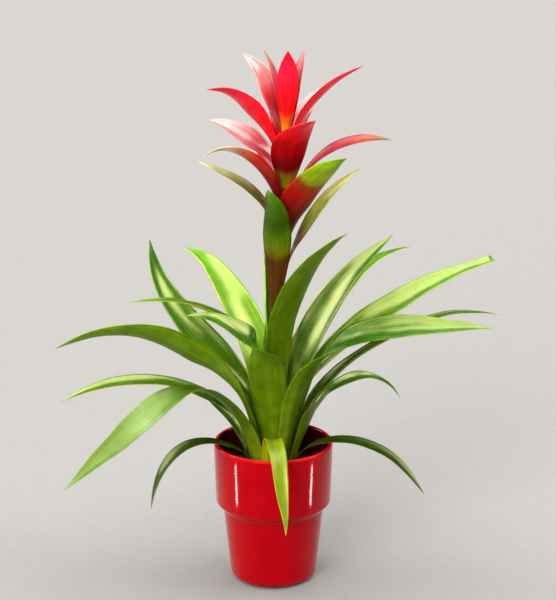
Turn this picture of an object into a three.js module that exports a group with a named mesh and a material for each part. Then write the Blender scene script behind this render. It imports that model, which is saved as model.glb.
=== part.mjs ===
// Bromeliad in a stepped glazed pot: a rosette of strap leaves and a flower
// stalk with red bracts, standing in potting mix. Millimetres, +Z up. The
// origin is the centre of the pot's flat underside, +X is the right-hand side
// and -Y the front. Azimuths run counter-clockwise from +X, seen from above.
import * as THREE from 'three';

// ---------- driving dimensions, mm and degrees ----------
const GAP = 0.3;                // between pieces that touch
const POT_HEIGHT = 157;
const RIM_RADIUS = 65;
const COLLAR_FOOT_RADIUS = 62.8;
const COLLAR_FOOT_Z = 89;       // the ledge under the collar
const BODY_TOP_RADIUS = 55;
const BODY_TOP_Z = 82;
const BODY_FOOT_RADIUS = 47.9;
const BODY_FOOT_Z = 14;         // above the rounded base
const BASE_FLAT_RADIUS = 38;    // what the pot stands on
const BASE_ROUND = 9;
const WALL = 4.8;
const FLOOR = 6;
const POT_SIDES = 48;

const MIX_TOP_Z = 125;
const MIX_CROWN = 2;            // how far its top falls off at the pot's wall
const MIX_CROWN_RADIUS = 45;
const MIX_HOLE_Z = 112;         // floor of the hole that the plant stands in
const MIX_HOLE_RADIUS = 26;     // at its floor
const MIX_MOUTH_RADIUS = 29;

const LAYER_RADIUS = 24.5;      // outermost ring of leaf bases
const LAYER_PITCH = 1.85;       // from one ring of leaf bases to the next
const LEAF_BASE_Z = MIX_HOLE_Z + GAP;
const LEAF_STATIONS = 18;
const BRACT_STATIONS = 11;
const ACROSS = 4;               // strips across a blade
const TIP_WIDTH = 1.4;
const LEAF_CLASP = 70;          // length of a leaf that wraps the rosette
const LEAF_FULL = 0.45;         // where a leaf reaches its full width
const LEAF_THICK = 0.95;        // at the base
const LEAF_THIN = 0.62;         // towards the tip
const BRACT_CLASP = 10;         // length of a bract that wraps the stalk
const BRACT_THICK = 0.7;
const BRACT_FULL = 0.42;         // where a bract reaches its full width

const STEM_TOP_Z = 506;
const STEM_SWAY = 14;           // how far the stalk leans to the right
const STEM_SIDES = 10;
const STEM_RINGS = 24;
const STEM_RADII = [[112.3, 9.4], [150, 8.6], [210, 5.6], [300, 4.8], [350, 5.4], [460, 5.2], [506, 3]];

const RED = 0xd01c24;
const BRICK = 0xb5542c;
const OLIVE = 0x6d7f28;
const LIME = 0xa8bd4a;
const GREENS = [0x3f7a2a, 0x4b8a2e, 0x33691f, 0x5a9a36];

// Leaves, numbered from the outside of the rosette inward. ring: which ring of
// bases; at: azimuth; rise: degrees above level at shares of the length;
// turn: change of heading in degrees along the length; cup: half the angle of
// the channel across the blade; roll: lean of the blade about its own line;
// sheath: width at the base; full: where it is widest; tip: width of a cut tip.
const LEAVES = [
  { ring: 0, at: 205, long: 190, wide: 21, sheath: 19, cup: 26,
    rise: [[0, 88], [0.14, 70], [0.22, 36], [0.44, 9], [0.54, -8], [0.76, -58], [1, -85]] },
  { ring: 0, at: 264, long: 194, wide: 18.5, sheath: 19, cup: 28,
    turn: [[0.1, 0], [0.35, 15], [1, 24]],
    rise: [[0, 88], [0.14, 82], [0.26, 62], [0.38, 22], [0.48, -18], [0.6, -54], [0.75, -70], [1, -78]] },
  { ring: 0, at: 338, long: 200, wide: 22, sheath: 19, cup: 28,
    rise: [[0, 88], [0.14, 70], [0.24, 34], [0.34, 16], [0.44, 8], [0.64, -20], [0.88, -47], [1, -54]] },
  { ring: 0, at: 46, long: 122, wide: 20, sheath: 19, cup: 30,
    rise: [[0, 88], [0.2, 74], [0.4, 52], [1, 8]] },
  { ring: 0, at: 96, long: 185, wide: 24, sheath: 19, cup: 30,
    rise: [[0, 88], [0.14, 72], [0.3, 36], [0.45, 8], [0.6, -28], [0.8, -58], [1, -72]] },
  { ring: 0, at: 148, long: 117, wide: 20, sheath: 19, cup: 30,
    rise: [[0, 88], [0.4, 52], [1, 14]] },
  { ring: 1, at: 222, long: 352, wide: 36, sheath: 26, full: 0.78, cup: 32,
    roll: [[0.2, 0], [0.45, 7], [0.52, 2], [0.64, -26], [1, -20]],
    rise: [[0, 88], [0.4, 33], [0.46, 20], [0.5, -4], [0.6, -20], [0.75, -29], [1, -23]] },
  { ring: 1, at: 340, long: 211, wide: 28, sheath: 24, cup: 28,
    roll: [[0.2, 0], [0.38, -16], [0.54, 14], [0.74, 20], [0.84, -14], [1, -10]],
    rise: [[0, 88], [0.14, 76], [0.34, 70], [0.7, 26], [0.78, 10], [0.88, -24], [1, -68]] },
  { ring: 1, at: 94, long: 290, wide: 34, sheath: 30, cup: 34,
    rise: [[0, 88], [0.14, 72], [0.4, 16], [0.7, -28], [1, -52]] },
  { ring: 2, at: 178, long: 281, wide: 30, sheath: 26, cup: 30,
    roll: [[0.6, 0], [0.85, -18]],
    rise: [[0, 88], [0.14, 81], [0.22, 57], [0.34, 31], [0.44, 26], [0.54, 12], [1, -31]] },
  { ring: 2, at: 14, long: 324, wide: 34, sheath: 25, cup: 32,
    turn: [[0.2, 0], [0.5, -10]], roll: [[0.3, 0], [0.5, -8]],
    rise: [[0, 88], [0.14, 76], [0.34, 48], [0.44, 38], [0.64, 26], [0.76, 23], [1, -16]] },
  { ring: 2, at: 84, long: 262, wide: 32, sheath: 24, cup: 34,
    rise: [[0, 88], [0.16, 76], [0.28, 52], [0.46, 30], [0.75, -18], [1, -44]] },
  { ring: 3, at: 192, long: 331, wide: 36, sheath: 30, cup: 30,
    roll: [[0.28, 0], [0.5, 52], [1, 40]],
    rise: [[0, 88], [0.14, 83], [0.24, 72], [0.34, 54], [0.64, 22], [0.88, -11], [1, -24]] },
  { ring: 3, at: 320, long: 352, wide: 44, sheath: 33, full: 0.34, cup: 37,
    turn: [[0.12, 0], [0.44, 23]], roll: [[0.16, 0], [0.28, -18], [0.4, -14], [0.54, 20], [0.7, 28], [1, 26]],
    rise: [[0, 88], [0.2, 79], [0.34, 64], [0.64, 16], [0.76, 7], [1, 4]] },
  { ring: 3, at: 51, long: 361, wide: 25, sheath: 18, cup: 34,
    rise: [[0, 88], [0.14, 83], [0.34, 52], [0.54, 41], [0.88, 0], [1, -9]] },
  { ring: 4, at: 22, long: 368, wide: 37, sheath: 24, full: 0.6, tip: 13, cup: 30,
    roll: [[0.3, 0], [0.5, 16], [1, 20]],
    rise: [[0, 88], [0.14, 84], [0.24, 72], [0.34, 44], [0.44, 38], [0.54, 30], [1, 11]] },
  { ring: 4, at: 148, long: 307, wide: 42, sheath: 28, full: 0.64, cup: 28,
    roll: [[0.3, 0], [0.5, -14], [1, -8]],
    rise: [[0, 88], [0.14, 86], [0.24, 78], [0.34, 46], [0.44, 35], [0.64, 38], [0.76, 51], [1, 88]] },
  { ring: 4, at: 260, long: 266, wide: 44, sheath: 30, cup: 34,
    turn: [[0.58, 0], [0.7, -66], [1, -76]], roll: [[0.56, 0], [0.74, -30], [1, -24]],
    rise: [[0, 88], [0.2, 86], [0.4, 72], [0.58, 66], [0.68, 42], [0.84, 36], [1, -10]] },
  { ring: 5, at: 124, long: 319, wide: 43, sheath: 21, cup: 27,
    rise: [[0, 88], [0.24, 87], [0.34, 80], [0.54, 42], [0.76, 32], [0.88, 12], [1, -14]] },
  { ring: 5, at: 38, long: 311, wide: 40, sheath: 21, full: 0.3, cup: 32,
    roll: [[0.3, 0], [0.5, 10]],
    rise: [[0, 88], [0.14, 86], [1, 21]] },
  { ring: 6, at: 200, long: 320, wide: 27, sheath: 22, cup: 34,
    rise: [[0, 89], [0.42, 86], [0.47, 74], [0.54, 52], [0.64, 30], [0.88, 9], [1, -8]] },
  { ring: 7, at: 295, long: 350, wide: 45, sheath: 15, full: 0.72, cup: 32,
    turn: [[0.42, 0], [0.6, 14]],
    rise: [[0, 89], [0.38, 87], [0.64, 57], [0.76, 52], [1, 30]] },
  { ring: 7, at: 100, long: 184, wide: 22, cup: 40,
    rise: [[0, 89], [1, 76]] },
];

// Bracts, numbered from the top down. foot: height of the bract's base; base:
// its width there, as a share; blunt: how late and square the tip tapers;
// follow: share of the length that leans with the stalk.
const BRACTS = [
  { foot: 502, at: 275, long: 87, wide: 25, base: 0.5, full: 0.65, cup: 42,
    rise: [[0, 80], [0.6, 88], [1, 88]] },
  { foot: 497, at: 146, long: 93, wide: 15, base: 0.36, cup: 56,
    rise: [[0, 80], [0.5, 79], [1, 57]] },
  { foot: 494, at: 50, long: 95, wide: 20, base: 0.35, cup: 56,
    rise: [[0, 80], [0.3, 80], [1, 62]] },
  { foot: 484, at: 160, long: 110, wide: 30, base: 0.35, cup: 34,
    roll: [[0.2, 0], [0.5, -25]],
    rise: [[0, 82], [0.3, 76], [0.6, 67], [1, 33]] },
  { foot: 480, at: 352, long: 125, wide: 25, base: 0.5, cup: 32,
    roll: [[0.1, 0], [0.35, -18]],
    rise: [[0, 80], [0.15, 73], [0.45, 49], [1, 27]] },
  { foot: 468, at: 46, long: 87, wide: 29, base: 0.35, cup: 32,
    rise: [[0, 76], [0.3, 76], [0.6, 48], [1, 36]] },
  { foot: 464, at: 198, long: 128, wide: 32, base: 0.5, cup: 30,
    roll: [[0.2, 0], [0.5, 28]],
    rise: [[0, 78], [0.15, 67], [0.6, 48], [1, 0]] },
  { foot: 452, at: 166, long: 100, wide: 31, base: 0.45, cup: 30,
    roll: [[0.2, 0], [0.5, -25]],
    rise: [[0, 76], [0.15, 55], [0.3, 43], [0.8, 21], [1, 10]] },
  { foot: 440, at: 288, long: 113, wide: 44, base: 0.4, cup: 34,
    turn: [[0.3, 0], [0.8, 16]],
    rise: [[0, 80], [0.15, 82], [0.6, 42], [1, 28]] },
  { foot: 426, at: 350, long: 140, wide: 26, base: 0.5, cup: 30,
    roll: [[0.2, 0], [0.5, 14]],
    rise: [[0, 74], [0.3, 48], [0.8, 10], [1, -10]] },
  { foot: 420, at: 224, long: 124, wide: 29, base: 0.5, cup: 30,
    turn: [[0.15, 0], [0.5, -24]], roll: [[0.2, 0], [0.5, 20]],
    rise: [[0, 74], [0.45, 46], [0.6, 33], [0.8, 7], [1, -28]] },
  { foot: 387, at: 167, long: 120, wide: 25, base: 0.44, cup: 30, color: OLIVE,
    turn: [[0.15, 0], [0.4, 7]], roll: [[0.15, 0], [0.4, -6]],
    rise: [[0, 75], [0.15, 68], [0.6, 31], [1, 21]] },
  { foot: 374, at: 314, long: 136, wide: 46, base: 0.42, cup: 34, color: BRICK,
    turn: [[0.1, 0], [0.5, 18]], roll: [[0.15, 0], [0.4, -30]],
    rise: [[0, 82], [0.15, 75], [0.45, 56], [1, 31]] },
  { foot: 344, at: 350, long: 149, wide: 22, base: 0.5, cup: 30, color: LIME,
    roll: [[0.15, 0], [0.4, 32]],
    rise: [[0, 74], [0.15, 65], [0.45, 60], [1, 38]] },
  { foot: 300, at: 254, long: 149, wide: 36, base: 0.34, full: 0.7, blunt: 6, cup: 40, follow: 0.5,
    turn: [[0.6, 0], [0.8, -26], [1, -42]], color: OLIVE,
    rise: [[0, 83], [0.6, 80], [1, 74]] },
  { foot: 262, at: 164, long: 104, wide: 16, base: 0.6, cup: 56, color: LIME,
    rise: [[0, 85], [1, 90]] },
  { foot: 268, at: 24, long: 82, wide: 22, base: 0.6, cup: 50, color: OLIVE,
    rise: [[0, 83], [0.3, 75], [0.6, 76], [1, 71]] },
  { foot: 474, at: 114, long: 84, wide: 22, base: 0.3, cup: 36,
    rise: [[0, 77], [0.15, 77], [1, 34]] },
  { foot: 432, at: 72, long: 96, wide: 24, base: 0.35, cup: 34,
    rise: [[0, 78], [0.15, 70], [1, 4]] },
  { foot: 410, at: 112, long: 104, wide: 24, base: 0.35, cup: 34,
    rise: [[0, 78], [1, 0]] },
  { foot: 364, at: 84, long: 110, wide: 26, base: 0.38, cup: 34,
    rise: [[0, 76], [1, 20]] },
  { foot: 318, at: 86, long: 80, wide: 22, base: 0.34, cup: 44,
    rise: [[0, 80], [1, 62]] },
];

// ---------- helpers ----------
const radians = THREE.MathUtils.degToRad;

function finish(color, roughness) {
  return new THREE.MeshStandardMaterial({ color, roughness, metalness: 0 });
}

// The value at s between knots [position, value].
function knotted(knots, s) {
  const last = knots.length - 1;
  if (s <= knots[0][0]) return knots[0][1];
  for (let i = 0; i < last; i += 1) {
    const [s0, v0] = knots[i];
    const [s1, v1] = knots[i + 1];
    if (s <= s1) return v0 + (v1 - v0) * (s - s0) / (s1 - s0);
  }
  return knots[last][1];
}

function named(name, geometry, material) {
  const mesh = new THREE.Mesh(geometry, material);
  mesh.name = name;
  return mesh;
}

// Points of a rounded corner about (r, z), from angle a to angle b.
function corner(r, z, radius, a, b, steps) {
  const points = [];
  for (let i = 0; i <= steps; i += 1) {
    const t = radians(a + (b - a) * i / steps);
    points.push([r + radius * Math.cos(t), z + radius * Math.sin(t)]);
  }
  return points;
}

function turned(profile, sides) {
  const points = profile.map(([r, z]) => new THREE.Vector2(r, z));
  const geometry = new THREE.LatheGeometry(points, sides);
  geometry.rotateX(Math.PI / 2);
  return geometry;
}

// Sideways place of the stalk's middle at height z.
function stalkX(z) {
  return STEM_SWAY * THREE.MathUtils.smoothstep(z, 250, 480);
}

// ---------- blades ----------
// The middle line of a blade, with the heading at each step.
function middleLine(blade, start, steps) {
  const line = [];
  const at = start.clone();
  const step = blade.long / steps;
  for (let i = 0; i <= steps; i += 1) {
    const s = i / steps;
    const rise = radians(knotted(blade.rise, s));
    const heading = radians(blade.at + knotted(blade.turn ?? [[0, 0]], s));
    const along = new THREE.Vector3(
      Math.cos(rise) * Math.cos(heading),
      Math.cos(rise) * Math.sin(heading),
      Math.sin(rise),
    );
    line.push({ s, point: at.clone(), along, heading });
    const before = stalkX(at.z);
    at.addScaledVector(along, step);
    if (s < (blade.follow ?? 0)) at.x += stalkX(at.z) - before;
  }
  return line;
}

// The two faces of a blade at one station, as rows of points.
function bladeRows(blade, place, shape) {
  const { s, point, along, heading } = place;
  const free = THREE.MathUtils.smoothstep(s, shape.claspEnd * 0.55, shape.claspEnd * 1.3);
  const half = shape.halfWidth(s);
  const clasp = half / blade.reach;
  const cup = THREE.MathUtils.lerp(clasp, radians(blade.cup), free);
  const bend = half / cup;
  const side = new THREE.Vector3(-Math.sin(heading), Math.cos(heading), 0);
  const inward = new THREE.Vector3(-Math.cos(heading), -Math.sin(heading), 0);
  const over = new THREE.Vector3().crossVectors(along, side);
  const up = inward.lerp(over, free).normalize();
  const roll = radians(knotted(blade.roll ?? [[0, 0]], s));
  side.applyAxisAngle(along, roll);
  up.applyAxisAngle(along, roll);
  const depth = shape.thickness(s) / 2;
  const rows = { top: [], under: [] };
  for (let j = 0; j <= ACROSS; j += 1) {
    const turn = cup * (2 * j / ACROSS - 1);
    const face = up.clone().multiplyScalar(Math.cos(turn));
    face.addScaledVector(side, -Math.sin(turn));
    const middle = point.clone()
      .addScaledVector(side, bend * Math.sin(turn))
      .addScaledVector(up, bend * (1 - Math.cos(turn)));
    rows.top.push(middle.clone().addScaledVector(face, depth));
    rows.under.push(middle.clone().addScaledVector(face, -depth));
  }
  return rows;
}

// Closes the rows of both faces into one solid.
function skin(stations) {
  const positions = [];
  const index = [];
  const wide = ACROSS + 1;
  stations.forEach(({ top, under }) => {
    [...top, ...under].forEach((p) => positions.push(p.x, p.y, p.z));
  });
  const id = (k, j, face) => k * wide * 2 + face * wide + j;
  const quad = (a, b, c, d) => index.push(a, b, c, a, c, d);
  const flipped = (a, b, c, d) => index.push(a, c, b, a, d, c);
  for (let k = 0; k < stations.length - 1; k += 1) {
    for (let j = 0; j < ACROSS; j += 1) {
      quad(id(k, j, 0), id(k + 1, j, 0), id(k + 1, j + 1, 0), id(k, j + 1, 0));
      flipped(id(k, j, 1), id(k + 1, j, 1), id(k + 1, j + 1, 1), id(k, j + 1, 1));
    }
    quad(id(k, 0, 0), id(k, 0, 1), id(k + 1, 0, 1), id(k + 1, 0, 0));
    flipped(id(k, ACROSS, 0), id(k, ACROSS, 1), id(k + 1, ACROSS, 1), id(k + 1, ACROSS, 0));
  }
  const last = stations.length - 1;
  for (let j = 0; j < ACROSS; j += 1) {
    quad(id(0, j, 0), id(0, j + 1, 0), id(0, j + 1, 1), id(0, j, 1));
    flipped(id(last, j, 0), id(last, j + 1, 0), id(last, j + 1, 1), id(last, j, 1));
  }
  const geometry = new THREE.BufferGeometry();
  geometry.setAttribute('position', new THREE.Float32BufferAttribute(positions, 3));
  geometry.setIndex(index);
  geometry.computeVertexNormals();
  return geometry;
}

function bladeGeometry(blade, start, stations, shape) {
  const fine = 8;
  const line = middleLine(blade, start, stations * fine);
  const rows = [];
  for (let k = 0; k <= stations; k += 1) {
    rows.push(bladeRows(blade, line[k * fine], shape));
  }
  return skin(rows);
}

// ---------- leaves ----------
function leafShape(blade) {
  const sheath = blade.sheath ?? Math.min(blade.wide * 0.95, blade.reach * 1.9);
  return {
    claspEnd: LEAF_CLASP / blade.long,
    halfWidth: (s) => {
      const opened = THREE.MathUtils.smoothstep(s, 0.15, blade.full ?? LEAF_FULL);
      const strap = THREE.MathUtils.lerp(sheath, blade.wide, opened);
      const taper = s < 0.55 ? 1 : 1 - ((s - 0.55) / 0.45) ** 1.9;
      return Math.max(strap * taper, blade.tip ?? TIP_WIDTH) / 2;
    },
    thickness: (s) => THREE.MathUtils.lerp(LEAF_THICK, LEAF_THIN, Math.min(1, s * 1.6)),
  };
}

function leaf(plan) {
  const blade = { ...plan, reach: LAYER_RADIUS - plan.ring * LAYER_PITCH };
  const a = radians(blade.at);
  const start = new THREE.Vector3(Math.cos(a) * blade.reach, Math.sin(a) * blade.reach, LEAF_BASE_Z);
  return bladeGeometry(blade, start, LEAF_STATIONS, leafShape(blade));
}

// ---------- bracts ----------
function bractShape(blade) {
  const full = blade.full ?? BRACT_FULL;
  const from = Math.max(full, 0.5);
  const blunt = blade.blunt ?? 2;
  return {
    claspEnd: BRACT_CLASP / blade.long,
    halfWidth: (s) => {
      const widen = THREE.MathUtils.lerp(blade.base, 1, THREE.MathUtils.smoothstep(s, 0, full));
      const taper = s < from ? 1 : 1 - ((s - from) / (1 - from)) ** blunt;
      return Math.max(blade.wide * widen * taper, TIP_WIDTH) / 2;
    },
    thickness: () => BRACT_THICK,
  };
}

// How far from the stalk's axis the middle of a bract's base lies, so that the
// flats of its inner face stay the gap away from the stalk.
function bractReach(plan) {
  const inner = knotted(STEM_RADII, plan.foot) + GAP;
  const strip = plan.wide * plan.base / ACROSS / 2 / inner;
  return inner / Math.cos(strip) + BRACT_THICK / 2;
}

function bract(plan) {
  const foot = plan.foot;
  const radius = bractReach(plan);
  const blade = { ...plan, reach: radius };
  const a = radians(blade.at);
  const start = new THREE.Vector3(Math.cos(a) * radius, Math.sin(a) * radius, foot);
  start.x += stalkX(foot);
  return bladeGeometry(blade, start, BRACT_STATIONS, bractShape(blade));
}

// ---------- stem ----------
function stemGeometry() {
  const sides = STEM_SIDES;
  const rings = STEM_RINGS;
  const positions = [];
  const index = [];
  const bottom = LEAF_BASE_Z;
  for (let k = 0; k <= rings; k += 1) {
    const z = THREE.MathUtils.lerp(bottom, STEM_TOP_Z, k / rings);
    const r = knotted(STEM_RADII, z);
    for (let j = 0; j < sides; j += 1) {
      const a = 2 * Math.PI * j / sides;
      positions.push(stalkX(z) + r * Math.cos(a), r * Math.sin(a), z);
    }
  }
  const foot = positions.length / 3;
  positions.push(0, 0, bottom);
  positions.push(stalkX(STEM_TOP_Z), 0, STEM_TOP_Z);
  for (let j = 0; j < sides; j += 1) {
    const next = (j + 1) % sides;
    for (let k = 0; k < rings; k += 1) {
      const a = k * sides + j;
      const b = k * sides + next;
      index.push(a, b, b + sides, a, b + sides, a + sides);
    }
    index.push(foot, next, j);
    index.push(foot + 1, rings * sides + j, rings * sides + next);
  }
  const geometry = new THREE.BufferGeometry();
  geometry.setAttribute('position', new THREE.Float32BufferAttribute(positions, 3));
  geometry.setIndex(index);
  geometry.computeVertexNormals();
  return geometry;
}

// ---------- pot and mix ----------
const INSIDE_HEIGHTS = [FLOOR, 30, COLLAR_FOOT_Z, 100];

function innerRadius(z) {
  const mouth = [POT_HEIGHT, RIM_RADIUS - WALL];
  const [floor, heel, ledge, collar] = INSIDE_HEIGHTS;
  return knotted([[floor, 42], [heel, 45], [ledge, 50.4], [collar, 56], mouth], z);
}

function potGeometry() {
  const lip = WALL / 2;
  const profile = [
    [0, 0],
    [BASE_FLAT_RADIUS, 0],
    ...corner(BASE_FLAT_RADIUS, BASE_ROUND, BASE_ROUND, -70, -14, 4),
    [BODY_FOOT_RADIUS, BODY_FOOT_Z],
    [BODY_TOP_RADIUS, BODY_TOP_Z],
    ...corner(COLLAR_FOOT_RADIUS - 1.6, COLLAR_FOOT_Z - 0.4, 1.6, -90, 0, 3),
    ...corner(RIM_RADIUS - lip, POT_HEIGHT - lip, lip, 0, 180, 6),
    ...INSIDE_HEIGHTS.toReversed().map((z) => [innerRadius(z), z]),
    [0, FLOOR],
  ];
  return turned(profile, POT_SIDES);
}

function mixGeometry() {
  const heights = [FLOOR + GAP, ...INSIDE_HEIGHTS.slice(1), MIX_TOP_Z - MIX_CROWN];
  const profile = [
    [0, FLOOR + GAP],
    ...heights.map((z) => [innerRadius(z) - GAP, z]),
    [MIX_CROWN_RADIUS, MIX_TOP_Z],
    [MIX_MOUTH_RADIUS, MIX_TOP_Z],
    [MIX_HOLE_RADIUS, MIX_HOLE_Z],
    [0, MIX_HOLE_Z],
  ];
  return turned(profile, POT_SIDES);
}

function build() {
  const plant = new THREE.Group();
  plant.name = 'potted_bromeliad';
  plant.add(named('pot', potGeometry(), finish(0xc8141e, 0.12)));
  plant.add(named('potting_mix', mixGeometry(), finish(0x3a2a1e, 0.95)));
  plant.add(named('stem', stemGeometry(), finish(0x7d9a3a, 0.5)));
  LEAVES.forEach((plan, i) => {
    const name = `leaf_${String(i + 1).padStart(2, '0')}`;
    plant.add(named(name, leaf(plan), finish(GREENS[i % GREENS.length], 0.4)));
  });
  BRACTS.forEach((plan, i) => {
    const name = `bract_${String(i + 1).padStart(2, '0')}`;
    plant.add(named(name, bract(plan), finish(plan.color ?? RED, 0.4)));
  });
  return plant;
}

export default build();
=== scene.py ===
# %% [markdown]
# # Potted bromeliad
# A bromeliad in flower: strap leaves that wrap each other in a rosette, a stalk of
# red bracts in the middle, and a glazed pot with a collar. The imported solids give
# every piece its place and its main form. Here each one gets its finished surface:
# blades are smoothed and coloured, the pot is turned with fine arcs, and the
# potting mix gets its crumbs and bark.

# %% Load the frame
import math
import random
import bpy
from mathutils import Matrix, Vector


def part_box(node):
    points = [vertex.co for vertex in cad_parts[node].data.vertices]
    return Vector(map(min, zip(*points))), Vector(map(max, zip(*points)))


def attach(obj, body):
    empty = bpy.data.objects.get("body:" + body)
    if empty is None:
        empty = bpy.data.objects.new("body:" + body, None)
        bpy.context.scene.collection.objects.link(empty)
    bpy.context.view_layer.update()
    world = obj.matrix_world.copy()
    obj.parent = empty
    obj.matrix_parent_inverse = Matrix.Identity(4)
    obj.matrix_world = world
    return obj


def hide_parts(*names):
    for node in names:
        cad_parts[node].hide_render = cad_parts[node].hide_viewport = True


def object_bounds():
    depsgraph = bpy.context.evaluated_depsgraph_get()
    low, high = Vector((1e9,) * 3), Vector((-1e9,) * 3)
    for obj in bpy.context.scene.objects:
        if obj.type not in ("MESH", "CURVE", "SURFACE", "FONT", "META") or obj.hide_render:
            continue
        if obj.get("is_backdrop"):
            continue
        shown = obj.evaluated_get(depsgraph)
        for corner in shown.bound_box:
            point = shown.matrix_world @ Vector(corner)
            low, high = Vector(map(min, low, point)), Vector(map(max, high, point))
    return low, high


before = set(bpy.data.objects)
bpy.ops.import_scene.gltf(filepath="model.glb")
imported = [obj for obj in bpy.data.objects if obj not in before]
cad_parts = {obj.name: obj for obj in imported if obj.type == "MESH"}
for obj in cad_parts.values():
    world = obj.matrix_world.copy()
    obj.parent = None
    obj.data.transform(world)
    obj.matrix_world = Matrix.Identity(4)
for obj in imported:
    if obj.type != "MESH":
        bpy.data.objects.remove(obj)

cad_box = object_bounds()
for leftover in ("Cube", "Light", "Camera"):
    if leftover in bpy.data.objects:
        bpy.data.objects.remove(bpy.data.objects[leftover])
print("nodes in the frame:", len(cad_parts))

# %% [markdown]
# ## Measures and small tools
# All sizes are in metres. The frame gives the main ones: the pot's box holds its
# height and its rim radius, the mix's box the height of its top, and the stalk's
# box the level at which leaves and stalk stand in the mix. Operators act on
# whatever is selected, so small functions choose one object, select edges by their
# place, and run edit mode round a few operators.

# %% Measures and tools
MM = 0.001
WELD = 0.005 * MM            # points closer than this are one point

rim_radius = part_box("pot")[1][0]
rim_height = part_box("pot")[1][2]
mix_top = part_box("potting_mix")[1][2]
foot_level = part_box("stem")[0][2]


def choose(piece):
    """Only this piece is selected, and it is the active one."""
    bpy.ops.object.select_all(action="DESELECT")
    piece.select_set(True)
    bpy.context.view_layer.objects.active = piece


def pick(mesh, edges):
    """Selects exactly these edges, for the next turn in edit mode."""
    bpy.context.tool_settings.mesh_select_mode = (False, True, False)
    for part in (mesh.vertices, mesh.edges, mesh.polygons):
        part.foreach_set("select", [False] * len(part))
    for edge in edges:
        edge.select = True
        for corner in edge.vertices:
            mesh.vertices[corner].select = True


def apply_all(piece):
    """Every modifier on the piece becomes part of its mesh."""
    choose(piece)
    for modifier in list(piece.modifiers):
        bpy.ops.object.modifier_apply(modifier=modifier.name)


def seat(piece, node):
    """The piece rides on the plant's one body, and its node in the frame is hidden."""
    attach(piece, "root")
    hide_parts(node)


print("rim radius", round(rim_radius / MM, 1), "mm, rim height", round(rim_height / MM, 1), "mm")

# %% [markdown]
# ## Camera
# The photograph was taken from a little above the plant and from far away: a long
# lens keeps the pot's sides nearly upright. The camera stands where the pot's rim,
# its foot and the stalk fall in the same places of the picture.

# %% Camera
PHOTO_HEIGHT = 600           # pixels
FOCAL_PIXELS = 2148
SENSOR = 36                  # millimetres, for the picture's height
CAMERA_PLACE = (0.0051, -2.197, 0.991)
CAMERA_DOWN = 17.05          # degrees below level

lens = bpy.data.cameras.new("camera")
lens.sensor_fit = "VERTICAL"
lens.sensor_height = SENSOR
lens.lens = FOCAL_PIXELS / PHOTO_HEIGHT * SENSOR
lens.clip_end = 30
camera = bpy.data.objects.new("camera", lens)
camera.location = CAMERA_PLACE
camera.rotation_euler = (math.radians(90 - CAMERA_DOWN), 0, 0)
bpy.context.scene.collection.objects.link(camera)
bpy.context.scene.camera = camera
print("lens", round(lens.lens, 1), "mm")

# %% [markdown]
# ## Colours and nodes
# Colours are picked as sRGB hex values, the way a paint chart gives them, and one
# function turns them to the linear values that shaders use. One more function adds
# a node with its settings and links, so that a material reads as a short list.


# %% Colours and nodes
def linear(hex_colour):
    """An sRGB hex colour as linear red, green, blue and alpha."""
    channels = []
    for i in (0, 2, 4):
        value = int(hex_colour[i:i + 2], 16) / 255
        dark = value <= 0.04045
        channels.append(value / 12.92 if dark else ((value + 0.055) / 1.055) ** 2.4)
    return (*channels, 1.0)


def new_material(name):
    """A node material that holds only its output, and its tree."""
    material = bpy.data.materials.new(name)
    material.use_nodes = True
    material.node_tree.nodes.clear()
    add(material.node_tree, "ShaderNodeOutputMaterial")
    return material, material.node_tree


def add(tree, kind, links=None, values=None, **settings):
    """A node: settings are its properties, values its sockets, links feed its sockets."""
    node = tree.nodes.new(kind)
    for key, value in settings.items():
        setattr(node, key, value)
    for socket, value in (values or {}).items():
        node.inputs[socket].default_value = value
    for socket, source in (links or {}).items():
        tree.links.new(source, node.inputs[socket])
    return node


def stops_on(node, stops):
    """Sets a colour ramp's (place, hex colour) stops and gives its colour."""
    elements = node.color_ramp.elements
    while len(elements) < len(stops):
        elements.new(0.5)
    for element, (place, colour) in zip(elements, stops):
        element.position = place
        element.color = linear(colour)
    return node.outputs["Color"]


def show(tree, shader):
    """Joins the shader to the material's output."""
    output = tree.nodes["Material Output"]
    tree.links.new(shader.outputs[0], output.inputs["Surface"])


print("helpers ready")

# %% [markdown]
# ## Leaf and bract tissue
# A bromeliad's blade differs on its two faces. The upper one is a deeper green under
# a thick waxy cuticle, which gives broad pale reflections. The lower one is lighter
# and covered with tiny scales, so it stays nearly matt. Some light goes in and comes
# out yellow-green: subsurface scattering over a few times the blade's thickness does
# that. Parallel veins run from base to tip, about 1 mm apart, and show as fine darker
# lines. One function makes all such tissue. The colour is an attribute painted on
# each blade further down. The material adds veins and streaks on the blade's own map
# (across, along) and blotches on Object coordinates.

# %% Leaf and bract tissue
VEINS = (34, 2.2)            # 1.1 mm apart on a blade 38 mm wide, nearly half its length long
STREAKS = (6, 1.3)           # broader bands, also drawn out along the blade
BLOTCH = 14 * MM             # size of the clouds of darker and paler tissue
DARK_TO_FULL = (0.32, 0.62)  # noise values where a pattern is darkest and where it ends
VEIN_RELIEF = 0.25 * MM
WAX_VARIES = 0.05            # how much rougher or smoother the wax gets in streaks
BLADE_THICKNESS = 0.7 * MM
GLOW_REACH = 2.5 * BLADE_THICKNESS


def on_blade(tree, cells):
    """The blade's own map, stretched to so many cells across and along it."""
    own = add(tree, "ShaderNodeUVMap", uv_map="blade").outputs["UV"]
    stretch = add(tree, "ShaderNodeMapping", {"Vector": own}, {"Scale": (*cells, 1)})
    return stretch.outputs["Vector"]


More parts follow.
